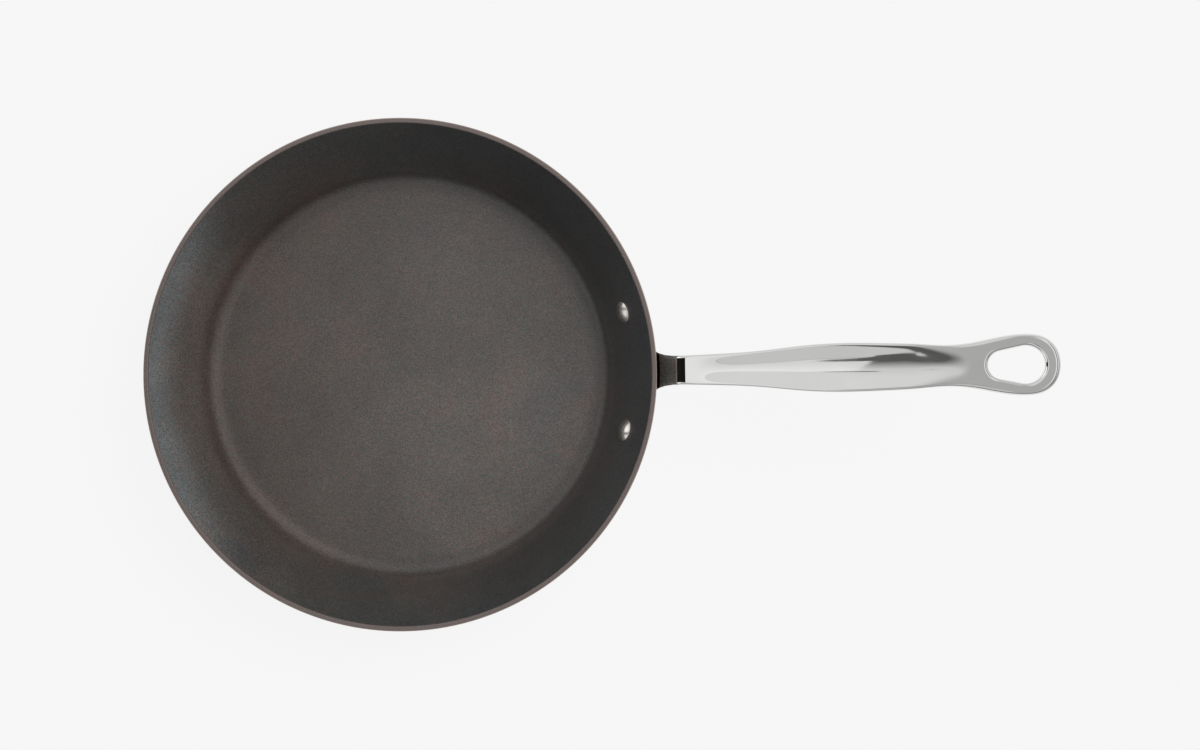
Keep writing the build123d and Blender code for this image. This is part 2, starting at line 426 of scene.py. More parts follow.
# How far a place lies from the lamp: its growth per metre along x and y. Then the corner's
# light: from and to on that measure, and the factor at each
AWAY_FROM_LAMP = (-9.2, -3.8)
CORNER_LIGHT = (0.35, 0.85, 0.76, 1.22)

# Distances short of the rim's edge or top, from and to, in metres
OUTSIDE_SHORT = (0.0012, 0.0006)
RIM_TOP_SHORT = (0.0006, 0.0002)
BARE_EDGE_SHORT = (0.0011, 0.0005)
BARE_TOP_SHORT = (0.0014, 0.0009)

# Distances past the rim's edge, from and to, in metres
PAINTED_SHADE_PAST = (0.0011, 0.0015)

# Depths of a bump, in metres
GRAIN_DEPTH = 0.00005
HANDLE_STREAK_DEPTH = 0.0000008
RIVET_STREAK_DEPTH = 0.000003

# Values of a pattern, from and to, and the roughness at each
SEASONING_ROUGHNESS = (0.3, 0.7, 0.32, 0.40)
HANDLE_ROUGHNESS = (0.3, 0.75, 0.025, 0.055)
RIVET_ROUGHNESS = (0.3, 0.7, 0.20, 0.28)

# Values of the grain, from and to, and the factor on the colour at each
FINE_GRAIN_SHADE = (0.0, 1.0, 0.64, 1.36)
COARSE_GRAIN_SHADE = (0.0, 1.0, 0.9, 1.1)

# Factors that make a colour darker or paler
DARK_CLOUD, PALE_CLOUD = 0.86, 1.12
HANDLE_SMUDGE, RIVET_SMUDGE = 0.97, 0.90
# The first darkens the painted shade by the neck, the second the rivets' painted reflection
PAINTED_SHADE_DARKNESS, PAINTED_RIVET_REFLECTION = 0.4, 0.42

# Colours that multiply another colour
BAKED_TINT = (1.08, 0.97, 0.94)
BLUISH_TINT = (0.91, 0.95, 1.00)
REDDISH_TINT = (1.07, 0.98, 0.97)
WALL_TINT = (0.80, 0.93, 0.97)
BROWNER_TINT = (1.0, 0.91, 0.88)
# Painted light on the wall's two ends and on its outside
PAINTED_LIGHTER = (1.45, 1.45, 1.45)
FAR_END_LIGHT = (1.52, 1.70, 1.82)
BEHIND_NECK_LIGHT = (2.05, 1.85, 1.75)
COOL_SPECK = (0.86, 1.04, 1.06)
WARM_SPECK = (1.14, 0.96, 0.94)


def seasoning_tones(tree, place, level, clouds, seasoning):
    """The seasoning's own colour: clouds, a browned lower wall, bluish and reddish areas."""
    darker = rgba(c * DARK_CLOUD for c in seasoning)
    paler = rgba(c * PALE_CLOUD for c in seasoning)
    colour = blended(tree, ramp_between(tree, clouds, 0.35, 0.65), darker, paler)
    baked = times(tree, ramp_between(tree, level, *BAKED_START),
                  falling(tree, level, *BAKED_END),
                  ramp_between(tree, noise(tree, place, BAKED_SCALE), 0.3, 0.6))
    bluish = ramp_between(tree, noise(tree, place, BLUISH_SCALE, 3.0), 0.56, 0.70)
    reddish = ramp_between(tree, noise(tree, place, REDDISH_SCALE, 3.0), 0.50, 0.72)
    colour = tinted(tree, baked, colour, BAKED_TINT)
    colour = tinted(tree, bluish, colour, BLUISH_TINT)
    return tinted(tree, reddish, colour, REDDISH_TINT)


def written_light(tree, colour, x, y, level, radius):
    """The photo's light and shade on floor, wall and corner, written into the colour."""
    wall = ramp_between(tree, level, *WALL_START)
    floor_light = times(tree, slope_between(tree, x, *FLOOR_LIGHT_X),
                        slope_between(tree, y, *FLOOR_LIGHT_LEFT),
                        slope_between(tree, y, *FLOOR_LIGHT_RIGHT))
    wall_light = slope_between(tree, x, *WALL_LIGHT_X)
    colour = scaled(tree, colour, chosen(tree, wall, floor_light, wall_light))
    colour = tinted(tree, wall, colour, WALL_TINT)
    colour = tinted(tree, falling(tree, x, *BROWNER_X), colour, BROWNER_TINT)
    both_ends = times(tree, wall, ramp_between(tree, without_sign(tree, x), *ENDS_REACH))
    colour = tinted(tree, both_ends, colour, PAINTED_LIGHTER)
    far_end = times(tree, falling(tree, x, *FAR_END_X),
                    ramp_between(tree, level, *FAR_END_START))
    colour = tinted(tree, far_end, colour, FAR_END_LIGHT)
    corner = times(tree, ramp_between(tree, radius, *CORNER_RADIUS),
                   falling(tree, level, *CORNER_END))
    x_share, y_share = AWAY_FROM_LAMP
    away_from_lamp = maths(tree, "MULTIPLY_ADD", x, x_share, times(tree, y, y_share))
    corner_light = slope_between(tree, away_from_lamp, *CORNER_LIGHT)
    return scaled(tree, colour, chosen(tree, corner, 1.0, corner_light))


def grained(tree, colour, place, grain):
    """The colour broken up by fine and coarse grain, and by warm and cool specks."""
    coarse = grain_of(tree, place, COARSE_GRAIN_SCALE, 3.0)
    shade = times(tree, ramp_between(tree, grain, *FINE_GRAIN_SHADE),
                  ramp_between(tree, coarse, *COARSE_GRAIN_SHADE))
    hue = ramp_between(tree, grain_of(tree, place, SPECK_SCALE, 3.0), 0.2, 0.8)
    specks = blended(tree, hue, rgba(COOL_SPECK), rgba(WARM_SPECK))
    return blended(tree, 1.0, scaled(tree, colour, shade), specks, "MULTIPLY")


def painted_light_outside(tree, colour, x, y, level, radius, sizes):
    """Painted light: the outside of the wall made lighter, more so behind the neck."""
    rim = sizes.rim_diameter / 2
    up_the_wall = maths(tree, "MULTIPLY_ADD", minus(tree, sizes.height, level),
                        math.tan(sizes.wall_flare), radius)
    outside = ramp_between(tree, up_the_wall, *(rim - short for short in OUTSIDE_SHORT))
    behind_neck = times(tree, falling(tree, without_sign(tree, y), *BEHIND_NECK_REACH),
                        ramp_between(tree, x, *BEHIND_NECK_X), outside,
                        ramp_between(tree, level, *BEHIND_NECK_START))
    colour = tinted(tree, outside, colour, PAINTED_LIGHTER)
    return tinted(tree, behind_neck, colour, BEHIND_NECK_LIGHT)


def make_seasoned_steel(colours, sizes):
    """Dark seasoned steel, worn brown on the rim and bare along its outer edge."""
    material, tree, shader, place = open_material("seasoned_steel")
    x, y, level = split(tree, place)
    radius = from_axis(tree, x, y)
    clouds = noise(tree, place, CLOUD_SCALE, 4.0, 0.6)
    grain = grain_of(tree, place, FINE_GRAIN_SCALE, 3.4)
    colour = seasoning_tones(tree, place, level, clouds, colours.seasoning)
    colour = written_light(tree, colour, x, y, level, radius)
    colour = grained(tree, colour, place, grain)
    colour = painted_light_outside(tree, colour, x, y, level, radius, sizes)
    top, rim = sizes.height, sizes.rim_diameter / 2
    raggedness = 0.0004
    ragged = plus(
        tree, level, times(tree, noise(tree, place, RAGGED_SCALE, 3.0), raggedness))
    on_rim = ramp_between(tree, ragged, *(top - short for short in RIM_TOP_SHORT))
    bare = times(tree, ramp_between(tree, radius, *(rim - short for short in BARE_EDGE_SHORT)),
                 ramp_between(tree, ragged, *(top - short for short in BARE_TOP_SHORT)))
    colour = blended(tree, on_rim, colour, rgba(colours.worn_rim))
    colour = blended(tree, bare, colour, rgba(colours.bare_edge))
    tree.links.new(colour, shader.inputs["Base Color"])
    rough = ramp_between(tree, clouds, *SEASONING_ROUGHNESS)
    tree.links.new(minus(tree, rough, times(tree, on_rim, 0.08)), shader.inputs["Roughness"])
    metal = maths(tree, "MAXIMUM", times(tree, on_rim, 0.6), bare)
    tree.links.new(metal, shader.inputs["Metallic"])
    shader.inputs["Specular IOR Level"].default_value = 0.8
    bump_from(tree, shader, grain, GRAIN_DEPTH)
    return material


def make_polished_steel(colours, pan):
    """Polished stainless steel, with painted shade where the neck passes the rim."""
    material, tree, shader, place = open_material("polished_steel")
    streaks, smudges = polish_of(tree, place, STREAK_SCALE, SMUDGE_SCALE)
    tint = blended(tree, ramp_between(tree, smudges, 0.3, 0.7), rgba(colours.handle_steel),
                   rgba(c * HANDLE_SMUDGE for c in colours.handle_steel))
    x, y, level = split(tree, place)
    rim = pan.rim_diameter / 2
    # Painted shade: the crease where the neck passes the rim is darkened
    at_rim = falling(tree, from_axis(tree, x, y), *(rim + past for past in PAINTED_SHADE_PAST))
    painted_shade = times(tree, at_rim,
                    ramp_between(tree, level, *PAINTED_SHADE_START),
                    falling(tree, without_sign(tree, y), *PAINTED_SHADE_REACH))
    tint = blended(tree, painted_shade, tint, rgba(c * PAINTED_SHADE_DARKNESS for c in colours.seasoning))
    tree.links.new(tint, shader.inputs["Base Color"])
    tree.links.new(ramp_between(tree, smudges, *HANDLE_ROUGHNESS), shader.inputs["Roughness"])
    shader.inputs["Metallic"].default_value = 1.0
    bump_from(tree, shader, streaks, HANDLE_STREAK_DEPTH)
    return material


def make_rivet_steel(colours):
    """Satin steel, with a painted dark reflection on the lower part of each head."""
    material, tree, shader, place = open_material("rivet_steel")
    streaks, smudges = polish_of(tree, place, RIVET_STREAK_SCALE, RIVET_SMUDGE_SCALE)
    tint = blended(tree, ramp_between(tree, smudges, 0.35, 0.7), rgba(colours.rivet_steel),
                   rgba(c * RIVET_SMUDGE for c in colours.rivet_steel))
    facing_up = split(tree, made(tree, "ShaderNodeNewGeometry", {})["Normal"])[2]
    outwards = split(tree, place)[0]
    # Painted reflection: the part of each head that faces away from above is darker
    light = maths(tree, "MAXIMUM", ramp_between(tree, facing_up, 0.53, 0.62),
                  ramp_between(tree, outwards, *RIVET_TAIL_X))
    tint = blended(tree, light, rgba(c * PAINTED_RIVET_REFLECTION for c in colours.rivet_steel), tint)
    tree.links.new(tint, shader.inputs["Base Color"])
    tree.links.new(ramp_between(tree, smudges, *RIVET_ROUGHNESS), shader.inputs["Roughness"])
    shader.inputs["Metallic"].default_value = 0.85
    bump_from(tree, shader, streaks, RIVET_STREAK_DEPTH)
    return material


# Turned shapes, with Geometry Nodes

def make_turned_group():
    """Turns a profile, drawn in the XZ plane, about the Z axis into a closed surface."""
    tree, start, end = open_group(
        "Turned Shape", "GeometryNodeTree",
        [("Geometry", "Profile", None), ("Int", "Steps Round", 64)],
        [("Geometry", "Surface")],
    )
    profile = start.outputs["Profile"]
    size = made(tree, "GeometryNodeAttributeDomainSize", {0: profile}, component="CURVE")
    rows = size["Point Count"]
    grid = made(tree, "GeometryNodeMeshGrid", {
        "Size X": 1.0, "Size Y": 1.0, "Vertices Y": rows,
        "Vertices X": plus(tree, start.outputs["Steps Round"], 1.0),
    })
    place = made(tree, "GeometryNodeInputPosition", {})[0]
    flat_x, flat_y, _ = split(tree, place)
    along = times(tree, plus(tree, flat_y, 0.5), minus(tree, rows, 1.0))
    turn = times(tree, flat_x, math.tau)
    sampled = {"Geometry": profile, "Value": place, "Index": maths(tree, "ROUND", along)}
    on_profile = made(
        tree, "GeometryNodeSampleIndex", sampled, data_type="FLOAT_VECTOR", domain="POINT")
    radius, _, level = split(tree, on_profile[0])
    turned = joined(tree, times(tree, radius, maths(tree, "COSINE", turn)),
                    times(tree, radius, maths(tree, "SINE", turn)), level)
    moved = made(
        tree, "GeometryNodeSetPosition", {"Geometry": grid["Mesh"], "Position": turned})[0]
    closed = made(
        tree, "GeometryNodeMergeByDistance", {"Geometry": moved, "Distance": MERGE_DISTANCE})
    tree.links.new(closed[0], end.inputs["Surface"])
    return tree


def turned_shape(tree, profile, steps):
    inputs = {"Profile": profile, "Steps Round": steps}
    return shared_group(tree, "Turned Shape", make_turned_group, inputs)["Surface"]


def chosen_point(tree, index, choices, kind):
    """One of several values, by a point's index."""
    node = add_node(tree, "GeometryNodeIndexSwitch", data_type=kind)
    while len(node.index_switch_items) < len(choices):
        node.index_switch_items.new()
    tree.links.new(index, node.inputs["Index"])
    for place, source in enumerate(choices):
        feed(tree, source, node.inputs[1 + place])
    return node.outputs[0]


def drawn_profile(tree, points, radii, fillet_steps, spacing=None):
    """A curve through points in the XZ plane, rounded, and divided where a spacing is given."""
    index = made(tree, "GeometryNodeInputIndex", {})[0]
    line = made(tree, "GeometryNodeMeshLine", {"Count": len(points)})[0]
    corners = [joined(tree, x, 0.0, z) for x, z in points]
    drawn = {"Geometry": line, "Position": chosen_point(tree, index, corners, "VECTOR")}
    curve = made(tree, "GeometryNodeMeshToCurve", {
        0: made(tree, "GeometryNodeSetPosition", drawn)[0],
    })[0]
    rounded = made(tree, "GeometryNodeFilletCurve", {
        "Curve": curve, "Count": fillet_steps, "Limit Radius": True,
        "Radius": chosen_point(tree, index, radii, "FLOAT"),
    }, mode="POLY")[0]
    if spacing is None:
        return rounded
    place = made(tree, "GeometryNodeInputPosition", {})[0]
    next_place = {"Value": place, "Index": plus(tree, index, 1.0)}
    following = made(
        tree, "GeometryNodeFieldAtIndex", next_place, data_type="FLOAT_VECTOR", domain="POINT")
    run = made(tree, "ShaderNodeVectorMath", {0: place, 1: following[0]}, operation="DISTANCE")
    cuts = maths(tree, "FLOOR", over(tree, run["Value"], spacing))
    return made(tree, "GeometryNodeSubdivideCurve", {"Curve": rounded, "Cuts": cuts})[0]


def finished_tree(tree, surface, material, end):
    """Smooth shading, no instances and one material, as every tree here ends."""
    smooth = made(tree, "GeometryNodeSetShadeSmooth", {"Geometry": surface})[0]
    real = made(tree, "GeometryNodeRealizeInstances", {"Geometry": smooth})[0]
    dressed = made(tree, "GeometryNodeSetMaterial", {"Geometry": real, "Material": material})
    tree.links.new(dressed[0], end.inputs["Geometry"])


def make_pressed_pan_tree():
    """The pan body: a sheet of one thickness with a flat floor and a straight flared wall."""
    tree, start, end = open_group(
        "Pressed Pan", "GeometryNodeTree",
        [("Geometry", "Geometry", None), ("Float", "Rim Diameter", 0.26),
         ("Float", "Height", 0.048), ("Float", "Sheet Thickness", 0.0025),
         ("Float", "Wall Flare", 0.47), ("Float", "Corner Radius", 0.008),
         ("Float", "Edge Radius", 0.0007), ("Float", "Row Spacing", ROW_SPACING),
         ("Int", "Steps Round", 192), ("Material", "Material", None)],
        [("Geometry", "Geometry")],
    )
    given = start.outputs
    height, sheet, flare = given["Height"], given["Sheet Thickness"], given["Wall Flare"]
    bend, edge = given["Corner Radius"], given["Edge Radius"]
    fillet_steps = 12
    rim = over(tree, given["Rim Diameter"], 2.0)
    lean = maths(tree, "TANGENT", flare)
    sheet_across = over(tree, sheet, maths(tree, "COSINE", flare))
    base = minus(tree, rim, times(tree, height, lean))
    inside_rim = minus(tree, rim, sheet_across)
    inside_base = minus(tree, plus(tree, base, times(tree, sheet, lean)), sheet_across)
    profile = drawn_profile(
        tree,
        [(0.0, sheet), (inside_base, sheet), (inside_rim, height), (rim, height), (base, 0.0),
         (0.0, 0.0)],
        [0.0, bend, edge, edge, plus(tree, bend, sheet), 0.0],
        fillet_steps,
        given["Row Spacing"],
    )
    surface = turned_shape(tree, profile, given["Steps Round"])
    finished_tree(tree, surface, given["Material"], end)
    return tree


def domed_end(tree, diameter, height, sign, level):
    """Points and corner radii of a rivet's domed end, from its top to the shank's side."""
    side, dome_rows = 0.0005, 5
    half = over(tree, diameter, 2.0)
    cap = minus(tree, height, side)
    squares = plus(tree, times(tree, half, half), times(tree, cap, cap))
    arc_radius = over(tree, squares, times(tree, cap, 2.0))
    sweep = maths(tree, "ARCSINE", over(tree, half, arc_radius))
    dome = []
    for row in range(dome_rows + 1):
        angle = times(tree, sweep, row / dome_rows)
        fall = times(tree, arc_radius, minus(tree, 1.0, maths(tree, "COSINE", angle)))
        rise = minus(tree, height, fall)
        dome.append((times(tree, arc_radius, maths(tree, "SINE", angle)),
                     plus(tree, level, times(tree, rise, sign))))
    return half, dome, [0.0] + [0.02] * (dome_rows - 1) + [0.00035, 0.0, 0.0]


def make_rivet_tree():
    """Two rivets through the wall: domed head inside, shank, and formed tail on the flange."""
    tree, start, end = open_group(
        "Wall Rivets", "GeometryNodeTree",
        [("Geometry", "Geometry", None), ("Float", "Wall Radius", 0.118),
         ("Float", "Height", 0.031), ("Float", "Wall Flare", 0.47),
         ("Float", "Spread", 0.061), ("Float", "Held Thickness", 0.0067),
         ("Float", "Head Diameter", 0.012), ("Float", "Head Height", 0.0024),
         ("Float", "Tail Diameter", 0.0105), ("Float", "Tail Height", 0.002),
         ("Float", "Shank Diameter", 0.006), ("Int", "Steps Round", RIVET_STEPS),
         ("Material", "Material", None)],
        [("Geometry", "Geometry")],
    )
    given = start.outputs
    shank = over(tree, given["Shank Diameter"], 2.0)
    seat = 0.0002
    fillet_steps = 5
    points, radii = [], []
    for part, sign, level in (("Head", -1.0, 0.0), ("Tail", 1.0, given["Held Thickness"])):
        half, dome, corners = domed_end(
            tree, given[part + " Diameter"], given[part + " Height"], sign, level)
        foot = minus(tree, level, sign * seat)
        ring = [*dome, (half, foot), (shank, foot)]
        points.extend(ring if sign < 0 else reversed(ring))
        radii.extend(corners if sign < 0 else reversed(corners))
    profile = drawn_profile(tree, points, radii, fillet_steps)
    rivet = turned_shape(tree, profile, given["Steps Round"])
    index = made(tree, "GeometryNodeInputIndex", {})[0]
    pair = made(tree, "GeometryNodeMeshLine", {"Count": 2})[0]
    side = minus(tree, times(tree, index, 2.0), 1.0)
    wall = given["Wall Radius"]
    swing = times(tree, side, maths(
        tree, "ARCSINE", over(tree, given["Spread"], times(tree, wall, 2.0))))
    swing_cos = maths(tree, "COSINE", swing)
    swing_sin = maths(tree, "SINE", swing)
    place = joined(tree, times(tree, wall, swing_cos), times(tree, wall, swing_sin),
                   given["Height"])
    lean_cos = maths(tree, "COSINE", given["Wall Flare"])
    lean_sin = maths(tree, "SINE", given["Wall Flare"])
    outwards = joined(tree, times(tree, lean_cos, swing_cos), times(tree, lean_cos, swing_sin),
                      times(tree, lean_sin, -1.0))
    placed = made(tree, "GeometryNodeSetPosition", {"Geometry": pair, "Position": place})[0]
    aim = made(tree, "FunctionNodeAlignRotationToVector", {"Vector": outwards}, axis="Z")
    set_in = made(tree, "GeometryNodeInstanceOnPoints", {
        "Points": placed, "Instance": rivet, "Rotation": aim["Rotation"],
    })[0]
    finished_tree(tree, set_in, given["Material"], end)
    return tree


def grown(name, tree, values, material):
    """The plain mesh object that a tree makes with its inputs set to the values."""
    seed = bpy.data.objects.new(name + "_seed", bpy.data.meshes.new(name + "_seed"))
    bpy.context.scene.collection.objects.link(seed)
    modifier = seed.modifiers.new("Shape", "NODES")
    modifier.node_group = tree
    sockets = {s.name: s.identifier for s in tree.interface.items_tree if s.in_out == "INPUT"}
    for label, value in values.items():
        modifier[sockets[label]] = value
    modifier[sockets["Material"]] = material
    ready = seed.evaluated_get(bpy.context.evaluated_depsgraph_get())
    mesh = bpy.data.meshes.new_from_object(ready)
    seed.modifiers.remove(modifier)
    bpy.data.objects.remove(seed)
    mesh.name = name
    face_outwards(mesh)
    piece = bpy.data.objects.new(name, mesh)
    bpy.context.scene.collection.objects.link(piece)
    return piece


def face_outwards(mesh):
    """Faces outwards, with sharp edges where they meet at a steep angle."""
    work = bmesh.new()
    work.from_mesh(mesh)
    bmesh.ops.remove_doubles(work, verts=work.verts, dist=MERGE_DISTANCE)
    bmesh.ops.recalc_face_normals(work, faces=work.faces)
    work.to_mesh(mesh)
    work.free()
    mesh.set_sharp_from_angle(angle=SHARP_ANGLE)


# Cast handle, from its own sections

def smooth_line(points, start_way, end_way, steps):
    """A smooth curve through points that leaves and arrives along two given ways."""
    points = np.array(points, float)
    chords = np.linalg.norm(np.diff(points, axis=0), axis=1)
    count = len(points)
    system = np.zeros((count, count))
    wanted = np.zeros_like(points)
    system[0, 0] = system[-1, -1] = 1.0
    wanted[0], wanted[-1] = start_way, end_way
    for i in range(1, count - 1):
        before, after = 1 / chords[i - 1], 1 / chords[i]
        system[i, i - 1 : i + 2] = before, 2 * (before + after), after
        wanted[i] = 3 * before**2 * (points[i] - points[i - 1])
        wanted[i] += 3 * after**2 * (points[i + 1] - points[i])
    ways = np.linalg.solve(system, wanted)
    line = []
    for i, chord in enumerate(chords):
        for t in np.arange(steps) / steps:
            line.append(
                (2 * t**3 - 3 * t**2 + 1) * points[i]
                + (t**3 - 2 * t**2 + t) * chord * ways[i]
                + (3 * t**2 - 2 * t**3) * points[i + 1]
                + (t**3 - t**2) * chord * ways[i + 1]
            )
    return np.array([*line, points[-1]])


def rounded_line(corners, radii, steps=24):
    """A polyline with its inner corners rounded."""
    corners = np.array(corners, float)
    line = [corners[0]]
    for before, corner, after, radius in zip(corners, corners[1:], corners[2:], radii):
        back = (before - corner) / np.linalg.norm(before - corner)
        on = (after - corner) / np.linalg.norm(after - corner)
        half = math.acos(float(np.dot(back, on))) / 2
        middle = (back + on) / np.linalg.norm(back + on)
        centre = corner + middle * radius / math.sin(half)
        first = corner + back * radius / math.tan(half) - centre
        last = corner + on * radius / math.tan(half) - centre
        sweep = math.pi - 2 * half
        for t in np.arange(steps + 1) / steps:
            arm = math.sin((1 - t) * sweep) * first + math.sin(t * sweep) * last
            line.append(centre + arm / math.sin(sweep))
    return np.array([*line, corners[-1]])


def at_shares(line, shares):
    """Points at shares of a line's length."""
    runs = np.concatenate([[0.0], np.cumsum(np.linalg.norm(np.diff(line, axis=0), axis=1))])
    wanted = np.array(shares) * runs[-1]
    return np.stack([np.interp(wanted, runs, line[:, k]) for k in range(line.shape[1])], axis=1)


def eased(value, low, high):
    """A smooth step from zero to one."""
    t = min(max((value - low) / (high - low), 0.0), 1.0)
    return t * t * (3 - 2 * t)


class HandleShape:
    """The handle's lines and surfaces, in metres, from its sizes."""

    columns = 49
    top_steps = 7
    side_steps = 3
    low_steps = 8
    grip_start = 0.006
    loop_start = 0.145
    ear = 0.009
    root_rise = 0.0072
    root_drop = 0.0056
    valley_gap = 0.00042
    bend_lift = 0.0016
    heel_radius = 0.0142
    inside_reach = 0.005
    hole_to_tip = 0.0076
    hole_length = 0.027
    hole_margin = 0.0059
    hole_narrow = 0.0069
    belly_places = ((0.0, 0.0096), (0.024, 0.0096), (0.085, 0.0106), (0.133, 0.0074),
                    (0.171, 0.0064), (0.2, 0.0064))
    scoop_places = ((0.006, 0), (0.0126, 0.2), (0.020, 0.48), (0.030, 0.71), (0.045, 0.89),
                    (0.065, 0.985), (0.080, 1.0), (0.095, 0.91), (0.109, 0.775),
                    (0.119, 0.67), (0.131, 0.37), (0.136, 0.22), (0.140, 0.09))

    def __init__(self, sizes, pan, rivets):
        self.sizes = sizes
        self.pan = pan
        self.rivets = rivets
        self.flare = math.tan(pan.wall_flare)
        self.flange_lift = rivets.flange_thickness / math.cos(pan.wall_flare)
        self.middle = pan.height - rivets.drop
        root_top = self.middle + self.root_rise
        root_low = self.middle - self.root_drop
        rise = math.tan(sizes.neck_rise)
        lean = math.tan(sizes.slope)
        valley = self.cone(root_top, 1.0) + self.valley_gap
        bend_height = pan.height + self.bend_lift
        bend = valley + (bend_height - root_top) / rise
        self.along = np.array((math.cos(sizes.slope), 0.0, math.sin(sizes.slope)))
        self.upwards = np.array((-math.sin(sizes.slope), 0.0, math.cos(sizes.slope)))
        self.corner = np.array((bend, 0.0, bend_height))
        self.outline = self.make_outline()
        self.belly = smooth_line(self.belly_places, (1, 0), (1, 0), 16)
        deep = [(run, share * sizes.scoop_depth) for run, share in self.scoop_places]
        self.scoop_line = smooth_line([*deep, (sizes.scoop_end, 0)], (1, 0), (1, 0), 8)
        heel = bend + sizes.neck_thickness / math.sin(sizes.neck_rise)
        heel -= (bend_height - root_low) / rise
        under = self.corner - self.upwards * self.thickness(0.0)
        knee = (under[2] - root_low + rise * heel - lean * under[0]) / (rise - lean)
        top_end = self.on_grip(self.grip_start, 0.0, 0.0)
        low_end = self.on_grip(self.grip_start, 0.0, -self.thickness(self.grip_start))
        inside = self.cone(root_low, 0.0) - self.inside_reach
        self.top_line = self.outside_flange(rounded_line(
            [(inside, root_top), (valley, root_top), (bend, bend_height),
             (top_end[0], top_end[2])],
            [sizes.valley_radius, sizes.bend_radius],
        ))
        self.low_line = self.outside_flange(rounded_line(
            [(inside, root_low), (heel, root_low), (knee, root_low + rise * (knee - heel)),
             (low_end[0], low_end[2])],
            [self.heel_radius, sizes.bend_radius],
        ))

    def outside_flange(self, line):
        """The part of a side line beyond the flange's outer face."""
        gaps = line[:, 0] - np.array([self.cone(z, 1.0) for z in line[:, 1]])
        first = int(np.argmax(gaps > 0))
        share = gaps[first] / (gaps[first] - gaps[first - 1])
        start = line[first] + (line[first - 1] - line[first]) * share
        return np.array([start, *line[first:]])

    def cone(self, height, share):
        """Distance from the axis to the wall's outside, or a share of the flange beyond it."""
        rim = self.pan.rim_diameter / 2
        return rim - (self.pan.height - height) * self.flare + share * self.flange_lift

    def on_cone(self, across, height, share):
        return np.array((math.sqrt(self.cone(height, share) ** 2 - across**2), across, height))

    def on_grip(self, run, across, rise):
        """A place on the grip, whose first part climbs a little more than the rest."""
        rise += 0.0004 * eased(run, 0.006, 0.042)
        return self.corner + self.along * run + np.array((0.0, across, 0.0)) + self.upwards * rise

    def make_outline(self):
        """Half of the plan of grip and loop: run from the bend, and half width."""
        s = self.sizes
        grip, waist, loop = s.grip_width / 2, s.waist_width / 2, s.loop_width / 2
        neck = s.neck_width / 2
        shares = [
            (0.0, neck), (0.107, neck + 0.0005), (0.204, 0.735 * grip), (0.290, 0.865 * grip),
            (0.354, 0.953 * grip), (0.461, grip), (0.547, 0.969 * grip), (0.633, 0.908 * grip),
            (0.713, waist), (0.778, 1.117 * waist), (0.842, 0.915 * loop), (0.912, loop),
            (0.958, 0.893 * loop), (0.987, 0.587 * loop), (1.0, 0.0),
        ]
        return smooth_line([(a * s.length, b) for a, b in shares], (1, 0), (0, -1), 24)

    def half_width(self, run):
        return float(np.interp(run, self.outline[:, 0], self.outline[:, 1]))

    def thickness(self, run):
        return float(np.interp(run, self.belly[:, 0], self.belly[:, 1]))

    def top_edge(self, run):
        """Radius of the top edge's rounding."""
        radius = 0.0014 - 0.0004 * eased(run, 0.0, 0.010) + 0.0003 * eased(run, 0.06, 0.11)
        return radius + 0.0010 * eased(run, 0.122, 0.150)

    def low_edge(self, run):
        return 0.0032 - 0.0006 * eased(run, 0.12, 0.15)

    def scoop(self, run, across):
        """How far the thumb scoop lies under the flat top."""
        end = self.sizes.scoop_end
        if not self.scoop_line[0, 0] < run < end:
            return 0.0
        half = self.half_width(run) - 0.9 * self.top_edge(run)
        taper = 0.016
        closing = max(run - end + taper, 0.0) / taper
        half *= (1 - closing**2) ** 0.25
        share = min(abs(across) / half, 1.0)
        depth = float(np.interp(run, self.scoop_line[:, 0], self.scoop_line[:, 1]))
        softness = 1.35 + 0.65 * (1 - eased(run, 0.010, 0.045)) + 1.5 * eased(run, 0.112, 0.136)
        return depth * (1 - share**2) ** softness

    def side(self, thick, top_edge, low_edge):
        """Inset, depth and facing angle of the side's points, from the top down."""
        steps = []
        for i in range(1, self.top_steps + 1):
            turn = math.pi / 2 * i / self.top_steps
            inset = top_edge * (1 - math.sin(turn))
            steps.append((inset, top_edge * (1 - math.cos(turn)), turn))
        for i in range(1, self.side_steps + 1):
            depth = top_edge + (thick - top_edge - low_edge) * i / self.side_steps
            steps.append((0.0, depth, math.pi / 2))
        for i in range(1, self.low_steps):
            turn = math.pi / 2 * i / self.low_steps
            depth = thick - low_edge * (1 - math.sin(turn))
            steps.append((low_edge * (1 - math.cos(turn)), depth, math.pi / 2 + turn))
        return steps

    def shares_across(self):
        """Places across a section from +Y to -Y, closer together near its sides."""
        turns = np.linspace(1, -1, self.columns) * math.pi / 2 * 0.88
        return [math.sin(t) / math.sin(turns[0]) for t in turns]


class MeshMaker:
    """Collects the points and faces of one closed shape."""

    def __init__(self):
        self.points = []
        self.faces = []

    def add(self, points):
        first = len(self.points)
        self.points.extend(tuple(float(c) for c in p) for p in points)
        return list(range(first, len(self.points)))

    def band(self, one, other, closed=True):
        """Faces between two rows of as many points."""
        count = len(one)
        for i in range(count if closed else count - 1):
            j = (i + 1) % count
            self.faces.append((one[i], one[j], other[j], other[i]))

    def bands(self, rows, closed=True):
        for one, other in zip(rows, rows[1:]):
            self.band(one, other, closed)

    def mesh(self, name):
        mesh = bpy.data.meshes.new(name)
        mesh.from_pydata(self.points, [], self.faces)
        mesh.validate()
        mesh.shade_smooth()
        face_outwards(mesh)
        return mesh


